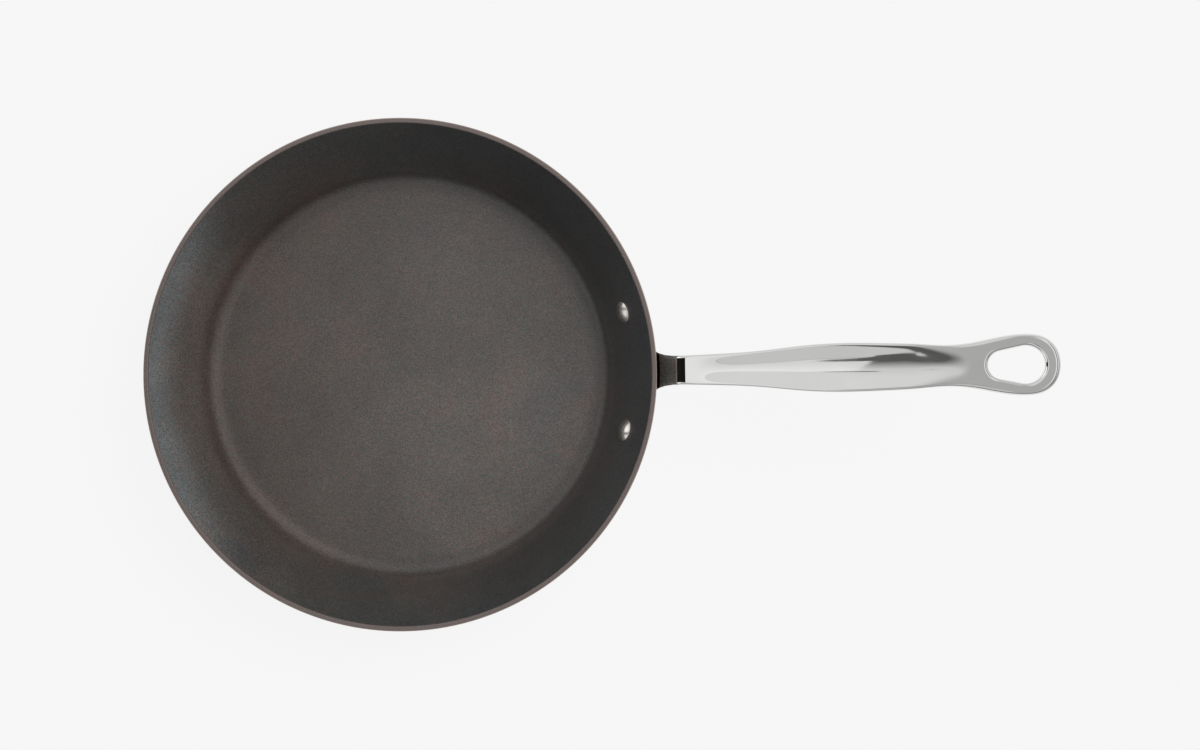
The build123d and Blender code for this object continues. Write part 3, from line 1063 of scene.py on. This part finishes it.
def section_points(shape, top, low, half, run, scooped):
    """A section's points and the ways they face: top from +Y to -Y, side, underside, side."""
    top_edge, low_edge = shape.top_edge(run), shape.low_edge(run)
    down = low - top
    thick = float(np.linalg.norm(down))
    down = down / thick
    side = shape.side(thick, top_edge, low_edge)
    points, ways = [], []
    for share in shape.shares_across():
        across = share * (half - top_edge)
        depth = shape.scoop(run, across) if scooped else 0.0
        points.append(top + np.array((0.0, across, 0.0)) + down * depth)
        ways.append((0.0, 1.0))
    for inset, depth, turn in side:
        points.append(top + np.array((0.0, inset - half, 0.0)) + down * depth)
        ways.append((-math.sin(turn), math.cos(turn)))
    for share in reversed(shape.shares_across()):
        points.append(low + np.array((0.0, share * (half - low_edge), 0.0)))
        ways.append((0.0, -1.0))
    for inset, depth, turn in reversed(side):
        points.append(top + np.array((0.0, half - inset, 0.0)) + down * depth)
        ways.append((math.sin(turn), math.cos(turn)))
    return points, ways


def neck_rows(shape):
    """Rows of points from the flange's face through the neck to the start of the grip."""
    sizes = shape.sizes
    over_fillet, more_under = 0.0006, 0.0010
    outs = [0.0, 0.003, 0.009, 0.018, 0.03, 0.045, 0.063, 0.084, 0.108, 0.135, 0.165]
    outs.extend(np.linspace(0.198, 1.0, 48))
    tops = at_shares(shape.top_line, outs)
    lows = at_shares(shape.low_line, outs)
    rows = []
    for out, top, low in zip(outs, tops, lows):
        run = shape.grip_start * max(0.0, (out - 0.8) / 0.2)
        points, ways = section_points(
            shape, np.array((top[0], 0.0, top[1])), np.array((low[0], 0.0, low[1])),
            shape.half_width(run), run, False,
        )
        flared = []
        for point, way in zip(points, ways):
            reach = sizes.root_flare * way[0] ** 2 + over_fillet * way[1] ** 2
            if way[1] < 0:
                reach += more_under * way[1] ** 2
            gap = (point[0] - shape.on_cone(point[1], point[2], 1.0)[0]) / reach
            bend = 1 - math.sqrt(1 - (1 - min(max(gap, 0.0), 1.0)) ** 2)
            across, height = point[1] + way[0] * reach * bend, point[2] + way[1] * reach * bend
            place = shape.on_cone(across, height, 1.0)
            if out > 0.0:
                place[0] = max(point[0], place[0] + MERGE_DISTANCE)
            flared.append(place)
        rows.append(flared)
    return rows


def flange_rows(shape, foot):
    """Rows over the flange, from the neck's foot over its front, edge and back."""
    middle, reach = shape.middle, shape.rivets.spread / 2
    centre = shape.columns // 2
    count = len(foot)
    shares = np.arange(count) / count

    def plate_edge(inset):
        """The plate's outline at the shares, going from the top's middle towards -Y."""
        ear = shape.ear - inset
        ends = np.cumsum([reach, math.pi * ear, 2 * reach, math.pi * ear, reach])
        outline = []
        for run in shares * ends[-1]:
            if run < ends[0]:
                place = (-run, middle + ear)
            elif run < ends[1]:
                turn = (run - ends[0]) / ear
                place = (-reach - ear * math.sin(turn), middle + ear * math.cos(turn))
            elif run < ends[2]:
                place = (-reach + run - ends[1], middle - ear)
            elif run < ends[3]:
                turn = (run - ends[2]) / ear
                place = (reach + ear * math.sin(turn), middle - ear * math.cos(turn))
            else:
                place = (reach - (run - ends[3]), middle + ear)
            outline.append(np.array(place))
        return [outline[(i - centre) % count] for i in range(count)]

    edge = 0.001
    front_steps, edge_steps = 8, 5
    rows = []
    front = plate_edge(edge)
    for t in np.linspace(0, 1, front_steps + 1)[1:]:
        flat = [(1 - t) * p[1:] + t * q for p, q in zip(foot, front)]
        rows.append([shape.on_cone(y, z, 1.0) for y, z in flat])
    thick = shape.rivets.flange_thickness
    for i in range(1, edge_steps + 1):
        turn = math.pi / 2 * i / edge_steps
        inset = edge * (1 - math.sin(turn))
        share = 1 - edge * (1 - math.cos(turn)) / thick
        rows.append([shape.on_cone(y, z, share) for y, z in plate_edge(inset)])
    back = plate_edge(0.0)
    for share in (0.5, 0.25, 0.0):
        rows.append([shape.on_cone(y, z, share) for y, z in back])
    spine = []
    for i in range(count):
        twin = (2 * centre + count // 2 - i) % count
        across = min(max((back[i][0] + back[twin][0]) / 2, -reach), reach)
        spine.append(np.array((across, middle)))
    for t in (0.4, 0.8, 1.0):
        flat = [(1 - t) * p + t * q for p, q in zip(back, spine)]
        rows.append([shape.on_cone(y, z, 0.0) for y, z in flat])
    return rows


def hole_line(shape):
    """The hanging hole's wall in plan, and the ways it faces, once round from the tip."""
    wide, narrow = shape.sizes.loop_width / 2 - shape.hole_margin, shape.hole_narrow
    hole_end = shape.sizes.length - shape.hole_to_tip
    wide_place = hole_end - wide
    narrow_place = hole_end - shape.hole_length + narrow
    turn = math.acos((narrow - wide) / (wide_place - narrow_place))
    line = []
    for angle in np.linspace(-turn, turn, 121):
        line.append((wide_place + wide * math.cos(angle), wide * math.sin(angle), angle))
    for angle in np.linspace(turn, math.tau - turn, 121):
        line.append((narrow_place + narrow * math.cos(angle), narrow * math.sin(angle), angle))
    line.append((line[0][0], line[0][1], line[0][2] + math.tau))
    return np.array(line)


def loop_faces(shape, maker, section):
    """The hanging loop beyond the last section: outer edge, top, underside and hole."""
    columns = shape.columns
    cut = shape.loop_start
    count = len(section)
    sides = (count - 2 * columns) // 2
    right = section[columns - 1 : columns + sides + 1]
    left = [section[0], *reversed(section[columns * 2 + sides :]), section[columns * 2 + sides - 1]]
    outline = shape.outline[shape.outline[:, 0] >= cut]
    first = np.array((cut, shape.half_width(cut)))
    half = np.array([first, *outline[outline[:, 0] > cut + 0.0001]])
    whole = np.concatenate([half * (1, -1), half[::-1][1:]])
    spots, step = np.linspace(0, 1, 97), 0.004
    around = at_shares(whole, spots)
    ahead = at_shares(whole, np.clip(spots + step, 0, 1))
    behind = at_shares(whole, np.clip(spots - step, 0, 1))
    strips = [right]
    for place, after, before in list(zip(around, ahead, behind))[1:-1]:
        way = (after - before) / np.linalg.norm(after - before)
        inwards = np.array((-way[1], way[0]))
        run = min(place[0], shape.sizes.length)
        thick = shape.thickness(run)
        top_edge, low_edge = shape.top_edge(run), shape.low_edge(run)
        steps = [(top_edge, 0.0, 0.0), *shape.side(thick, top_edge, low_edge),
                 (low_edge, thick, math.pi)]
        strips.append(maker.add(
            shape.on_grip(*(place + inwards * inset), -depth) for inset, depth, turn in steps
        ))
    strips.append(left)
    maker.bands(strips, closed=False)
    wall = hole_line(shape)
    centre = 0.5 * (wall[:, 0].min() + wall[:, 0].max())
    bearing = np.unwrap(np.arctan2(wall[:, 1], wall[:, 0] - centre))
    edge = 0.0020
    flat_steps, edge_steps = 9, 6
    mouths = {}
    for level in ("top", "low"):
        lines = [strip[0] if level == "top" else strip[-1] for strip in strips]
        across = section[1 : columns - 1]
        if level == "low":
            across = list(reversed(section[columns + sides + 1 : 2 * columns + sides - 1]))
        outer = [*lines, *across]
        rim = []
        for index in outer:
            point = np.array(maker.points[index]) - shape.corner
            run, side = float(point @ shape.along), float(point[1])
            angle = math.atan2(side, run - centre)
            angle += math.tau * math.ceil((bearing[0] - angle) / math.tau)
            x, y, way = (float(np.interp(angle, bearing, wall[:, k])) for k in range(3))
            rim.append((run, side, x, y, way))
        rows = [outer]
        for t in np.linspace(0, 1, flat_steps + 1)[1:]:
            row = []
            for run, side, x, y, way in rim:
                end = (x + edge * math.cos(way), y + edge * math.sin(way))
                place = ((1 - t) * run + t * end[0], (1 - t) * side + t * end[1])
                depth = shape.thickness(place[0]) if level == "low" else 0.0
                row.append(shape.on_grip(*place, -depth))
            rows.append(maker.add(row))
        for i in range(1, edge_steps + 1):
            turn = math.pi / 2 * i / edge_steps
            inset = edge * (1 - math.sin(turn))
            row = []
            for run, side, x, y, way in rim:
                place = (x + inset * math.cos(way), y + inset * math.sin(way))
                fall = edge * (1 - math.cos(turn))
                depth = shape.thickness(x) - fall if level == "low" else fall
                row.append(shape.on_grip(*place, -depth))
            rows.append(maker.add(row))
        maker.bands(rows)
        mouths[level] = rows[-1]
    maker.band(mouths["top"], mouths["low"])


def make_handle_mesh(shape, name):
    """The whole handle as one closed mesh: flange, neck, grip and loop."""
    maker = MeshMaker()
    neck = neck_rows(shape)
    rows = [*reversed(flange_rows(shape, neck[0])), *neck]
    step, fine_step = 0.001, 0.0005
    run = shape.grip_start
    while run < shape.loop_start - 0.0001:
        run += fine_step if 0.124 < run < 0.1395 else step
        run = min(run, shape.loop_start)
        top, low = shape.on_grip(run, 0.0, 0.0), shape.on_grip(run, 0.0, -shape.thickness(run))
        rows.append(section_points(shape, top, low, shape.half_width(run), run, True)[0])
    rings = [maker.add(row) for row in rows]
    maker.bands(rings)
    loop_faces(shape, maker, rings[-1])
    return maker.mesh(name)


# Operators, one for each piece or group of like pieces

class OMELETTE_OT_pan_body(bpy.types.Operator):
    """Make the pressed pan body, with its seasoned surface and worn rim"""

    bl_idname = "omelette.pan_body"
    bl_label = "Pan Body"

    def execute(self, context):
        sizes = context.scene.pan_sizes
        material = make_seasoned_steel(context.scene.pan_colours, sizes)
        values = {
            "Rim Diameter": sizes.rim_diameter,
            "Height": sizes.height,
            "Sheet Thickness": sizes.sheet_thickness,
            "Wall Flare": sizes.wall_flare,
            "Corner Radius": sizes.corner_radius,
            "Edge Radius": sizes.edge_radius,
            "Row Spacing": ROW_SPACING,
            "Steps Round": sizes.turns,
        }
        piece = grown("pressed_pan", make_pressed_pan_tree(), values, material)
        if not piece.data.polygons:
            raise RuntimeError("the pan body came out empty")
        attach(piece, ROOT_BODY)
        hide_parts("pan_body")
        return {"FINISHED"}


class OMELETTE_OT_rivets(bpy.types.Operator):
    """Make the two rivets that hold the handle to the wall"""

    bl_idname = "omelette.rivets"
    bl_label = "Rivets"

    def execute(self, context):
        sizes = context.scene.pan_sizes
        rivets = context.scene.rivet_sizes
        material = make_rivet_steel(context.scene.pan_colours)
        across = sizes.sheet_thickness / math.cos(sizes.wall_flare)
        radius = sizes.rim_diameter / 2 - rivets.drop * math.tan(sizes.wall_flare) - across
        values = {
            "Wall Radius": radius,
            "Height": sizes.height - rivets.drop,
            "Wall Flare": sizes.wall_flare,
            "Spread": rivets.spread,
            "Held Thickness": sizes.sheet_thickness + rivets.flange_thickness,
            "Head Diameter": rivets.head_diameter,
            "Head Height": rivets.head_height,
            "Tail Diameter": rivets.tail_diameter,
            "Tail Height": rivets.tail_height,
            "Shank Diameter": rivets.shank_diameter,
            "Steps Round": RIVET_STEPS,
        }
        piece = grown("wall_rivets", make_rivet_tree(), values, material)
        if not piece.data.polygons:
            raise RuntimeError("the rivets came out empty")
        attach(piece, ROOT_BODY)
        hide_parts("rivet_left", "rivet_right")
        return {"FINISHED"}


class OMELETTE_OT_handle(bpy.types.Operator):
    """Make the cast handle: curved flange, climbing neck, scooped grip and hanging loop"""

    bl_idname = "omelette.handle"
    bl_label = "Handle"

    def execute(self, context):
        scene = context.scene
        shape = HandleShape(scene.handle_sizes, scene.pan_sizes, scene.rivet_sizes)
        mesh = make_handle_mesh(shape, "cast_handle")
        if not mesh.polygons:
            raise RuntimeError("the handle came out empty")
        mesh.materials.append(make_polished_steel(scene.pan_colours, scene.pan_sizes))
        piece = bpy.data.objects.new("cast_handle", mesh)
        scene.collection.objects.link(piece)
        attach(piece, ROOT_BODY)
        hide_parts("handle")
        return {"FINISHED"}


# Studio

# The world's light by direction: from and to, then the light at each or the softness
WORLD_SLOPE = (-0.7, 0.7, 0.34, 0.86)
PANEL_X, PANEL_Z = (-0.85, -0.70, 0.9, 0.0), (0.0, 0.04)
GAP_X, GAP_Y = (-0.60, -0.35, 0.99, 0.0), (-0.10, 0.10, 0.03)

# How far a sheet reaches from the middle, and the floor's level, in metres
CEILING_REACH = 1.3
FLOOR_REACH, FLOOR_LEVEL = 6.0, -0.0001

# Parts of the ceiling's light: from and to in metres, then the light or the softness
SOFTBOX_SLOPE = (-0.20, 0.08, 0.80, 0.97)
FAR_SIDE, FAR_SIDE_LIGHT = (0.112, 0.126), 0.80
NEAR_SIDE, NEAR_SIDE_LIGHT = (-0.268, -0.256), 0.66
SEAM, SEAM_SHADE = (-0.266, -0.254, 0.004), 0.25
FADING_SLOPES = ((-0.15, 0.06, 0.11, 0.70), (0.06, 0.25, 0.0, 0.11))
FADING_NEAR, FADING_NEAR_LIGHT = (-0.30, -0.275), 0.66
FADING_RIGHT, FADING_RIGHT_LIGHT = (0.03, 0.11), 0.48
FADING_EDGE, FADING_EDGE_SLANT = (-0.0206, -0.0196), 0.025
WEDGE_UPPER = (-0.033, -0.025, -0.205, -0.165)
WEDGE_LOWER = ((-0.033, -0.026, -0.205, -0.240), (-0.026, -0.004, 0.0, -0.045))
WEDGE_X, WEDGE_SOFTNESS, WEDGE_LIGHT = (-0.033, 0.0, 0.001), 0.006, 0.12
SLIT_X, SLIT_Y, SLIT_SHADE = (-0.030, -0.012, 0.004), (0.112, 0.134, 0.006), 0.6
DARK_X, DARK_REACH, DARK_EDGE = (-0.276, -0.268, 0.99, 0.0), (-1.0, -0.45, 0.10, 0.22), 0.03
HIGHLIGHT_X, HIGHLIGHT_Y = (0.30, 1.2, 0.10), (-0.3, 0.9, 0.2)
FLAG_X, FLAG_Y, FLAG_SHADE = (0.55, 0.85, 0.04), (-0.6, 0.6, 0.1), 0.85


def mixed_shader(tree, share, first, second):
    return made(tree, "ShaderNodeMixShader", {0: share, 1: first, 2: second})[0]


def make_studio_world(look):
    """Even light all round, and for polished metal the pale and dark sides of a studio."""
    world = bpy.data.worlds.new("studio_world")
    bpy.context.scene.world = world
    world.use_nodes = True
    world.cycles.sampling_method = "NONE"
    tree = world.node_tree
    tree.nodes.clear()
    x, y, z = split(tree, made(tree, "ShaderNodeTexCoord", {})["Generated"])
    light = ramp_between(tree, y, *WORLD_SLOPE)
    panel = times(tree, ramp_between(tree, x, *PANEL_X), ramp_between(tree, z, *PANEL_Z))
    dark = times(tree, ramp_between(tree, x, *GAP_X), window(tree, y, *GAP_Y))
    light = times(tree, plus(tree, light, panel), minus(tree, 1.0, dark))
    cool_white = (0.88, 1.0, 1.08, 1.0)
    even = made(
        tree, "ShaderNodeBackground", {"Color": cool_white, "Strength": look.ambient})[0]
    in_metal = made(tree, "ShaderNodeBackground", {"Strength": light})[0]
    backdrop = made(tree, "ShaderNodeBackground", {"Color": rgba(look.backdrop)})[0]
    rays = made(tree, "ShaderNodeLightPath", {})
    unseen = mixed_shader(tree, rays["Is Glossy Ray"], even, in_metal)
    seen = mixed_shader(tree, rays["Is Camera Ray"], unseen, backdrop)
    made(tree, "ShaderNodeOutputWorld", {"Surface": seen})


def make_stage_sheet(name, reach, level):
    """A flat square of the stage, with an empty material."""
    mesh = bpy.data.meshes.new(name)
    corners = [(-reach, -reach, level), (reach, -reach, level), (reach, reach, level),
               (-reach, reach, level)]
    mesh.from_pydata(corners, [], [(0, 1, 2, 3)])
    sheet = bpy.data.objects.new(name, mesh)
    bpy.context.scene.collection.objects.link(sheet)
    material = bpy.data.materials.new(name)
    material.use_nodes = True
    mesh.materials.append(material)
    return sheet, material.node_tree


def softbox_light(tree, x, y):
    """The softbox with its two sides and seam, and a fading part beyond a slanting line."""
    light = slope_between(tree, y, *SOFTBOX_SLOPE)
    light = chosen(tree, ramp_between(tree, y, *FAR_SIDE), light, FAR_SIDE_LIGHT)
    light = chosen(tree, falling(tree, y, *NEAR_SIDE), light, NEAR_SIDE_LIGHT)
    light = minus(tree, light, times(tree, window(tree, y, *SEAM), SEAM_SHADE))
    fading = plus(tree, *(slope_between(tree, y, *slope) for slope in FADING_SLOPES))
    fading = chosen(tree, falling(tree, y, *FADING_NEAR), fading, FADING_NEAR_LIGHT)
    fading = chosen(tree, ramp_between(tree, x, *FADING_RIGHT), fading, FADING_RIGHT_LIGHT)
    slanting = maths(tree, "MULTIPLY_ADD", y, FADING_EDGE_SLANT, x)
    return chosen(tree, ramp_between(tree, slanting, *FADING_EDGE), light, fading)


def dark_wedge(tree, x, y):
    """A dark wedge that opens from a point towards +X."""
    upper = slope_between(tree, x, *WEDGE_UPPER)
    lower = plus(tree, *(slope_between(tree, x, *slope) for slope in WEDGE_LOWER))
    edge = (-WEDGE_SOFTNESS, WEDGE_SOFTNESS)
    return times(tree, ramp_between(tree, minus(tree, upper, y), *edge),
                 ramp_between(tree, minus(tree, y, lower), *edge), window(tree, x, *WEDGE_X))


def make_light_ceiling(look):
    """The softbox and dark gaps over the pan, which only shiny surfaces see."""
    sheet, tree = make_stage_sheet("light_ceiling", CEILING_REACH, look.ceiling_height)
    for rays in ("camera", "diffuse", "transmission", "volume_scatter", "shadow"):
        setattr(sheet, "visible_" + rays, False)
    x, y, _ = split(tree, made(tree, "ShaderNodeTexCoord", {})["Object"])
    light = chosen(tree, dark_wedge(tree, x, y), softbox_light(tree, x, y), WEDGE_LIGHT)
    slit = times(tree, window(tree, x, *SLIT_X), window(tree, y, *SLIT_Y))
    light = minus(tree, light, times(tree, slit, SLIT_SHADE))
    beside_dark = minus(tree, without_sign(tree, y), slope_between(tree, x, *DARK_REACH))
    dark = times(tree, ramp_between(tree, x, *DARK_X),
                 falling(tree, beside_dark, -DARK_EDGE, DARK_EDGE))
    light = times(tree, light, minus(tree, 1.0, dark))
    highlight = times(tree, window(tree, x, *HIGHLIGHT_X), window(tree, y, *HIGHLIGHT_Y))
    light = plus(tree, light, times(tree, highlight, look.sheen))
    flag = times(tree, window(tree, x, *FLAG_X), window(tree, y, *FLAG_Y))
    light = maths(tree, "MULTIPLY_ADD", flag, times(tree, light, -FLAG_SHADE), light)
    glow = made(tree, "ShaderNodeEmission", {"Strength": light})[0]
    tree.links.new(glow, tree.nodes["Material Output"].inputs["Surface"])
    sheet.active_material.cycles.emission_sampling = "NONE"


def make_floor(look):
    """A pale floor that keeps a part of the pan's shadow."""
    floor, tree = make_stage_sheet("studio_floor", FLOOR_REACH, FLOOR_LEVEL)
    shader = tree.nodes["Principled BSDF"]
    shader.inputs["Base Color"].default_value = rgba(look.backdrop)
    shader.inputs["Roughness"].default_value = 0.9
    shader.inputs["Specular IOR Level"].default_value = 0.0
    glow = made(tree, "ShaderNodeEmission", {"Color": rgba(look.backdrop)})[0]
    rays = made(tree, "ShaderNodeLightPath", {})
    seen = maths(tree, "MAXIMUM", rays["Is Camera Ray"], rays["Is Glossy Ray"])
    seen = maths(tree, "MAXIMUM", seen, rays["Is Transmission Ray"])
    glow_share = 0.95
    surface = mixed_shader(tree, times(tree, seen, glow_share), shader.outputs[0], glow)
    tree.links.new(surface, tree.nodes["Material Output"].inputs["Surface"])
    floor.active_material.cycles.emission_sampling = "NONE"


def make_lamp(name, strength, spread, azimuth, elevation):
    """A broad far lamp that shines from an azimuth and elevation, all angles in degrees."""
    data = bpy.data.lights.new(name, "SUN")
    data.energy = strength
    data.color = (1.04, 1.0, 0.97)
    data.angle = math.radians(spread)
    lamp = bpy.data.objects.new(name, data)
    lamp.rotation_euler = (0.0, math.radians(90 - elevation), math.radians(azimuth))
    lamp.visible_glossy = False
    bpy.context.scene.collection.objects.link(lamp)


def make_camera(look):
    data = bpy.data.cameras.new("overhead_camera")
    data.sensor_width = SENSOR_WIDTH
    data.lens = FOCAL_LENGTH
    camera = bpy.data.objects.new("overhead_camera", data)
    camera.location = (*CAMERA_PLACE, look.camera_height)
    camera.rotation_euler = (0.0, 0.0, CAMERA_TURN)
    bpy.context.scene.collection.objects.link(camera)
    bpy.context.scene.camera = camera


class OMELETTE_OT_studio(bpy.types.Operator):
    """Set up the pale floor, the soft light and the overhead camera"""

    bl_idname = "omelette.studio"
    bl_label = "Studio"

    def execute(self, context):
        look = context.scene.studio_look
        context.scene.view_settings.view_transform = "Standard"
        make_studio_world(look)
        make_floor(look)
        make_light_ceiling(look)
        make_lamp("key_lamp", look.key_strength, 50, 30, 55)
        make_camera(look)
        return {"FINISHED"}


class OMELETTE_PT_sidebar(bpy.types.Panel):
    """The pan's pieces and studio, and their sizes and colours"""

    bl_idname = "OMELETTE_PT_sidebar"
    bl_label = "Omelette Pan"
    bl_space_type = "VIEW_3D"
    bl_region_type = "UI"
    bl_category = "Omelette pan"

    def draw(self, context):
        layout = self.layout
        for settings in SETTINGS:
            group = getattr(context.scene, settings)
            column = layout.column(align=True)
            for name in group.bl_rna.properties.keys():
                if name not in {"rna_type", "name"}:
                    column.prop(group, name)
        for operator in OPERATORS:
            layout.operator(operator.bl_idname)


SETTINGS = {
    "pan_sizes": PanSizes,
    "rivet_sizes": RivetSizes,
    "handle_sizes": HandleSizes,
    "pan_colours": PanColours,
    "studio_look": StudioLook,
}
OPERATORS = (OMELETTE_OT_pan_body, OMELETTE_OT_rivets, OMELETTE_OT_handle, OMELETTE_OT_studio)


def register():
    for name, group in SETTINGS.items():
        bpy.utils.register_class(group)
        setattr(bpy.types.Scene, name, bpy.props.PointerProperty(type=group))
    for item in (*OPERATORS, OMELETTE_PT_sidebar):
        bpy.utils.register_class(item)


def unregister():
    for item in reversed((*OPERATORS, OMELETTE_PT_sidebar)):
        bpy.utils.unregister_class(item)
    for name, group in reversed(SETTINGS.items()):
        delattr(bpy.types.Scene, name)
        bpy.utils.unregister_class(group)


def main():
    register()
    bpy.ops.omelette.pan_body()
    bpy.ops.omelette.rivets()
    bpy.ops.omelette.handle()
    bpy.ops.omelette.studio()


if __name__ == "__main__":
    main()
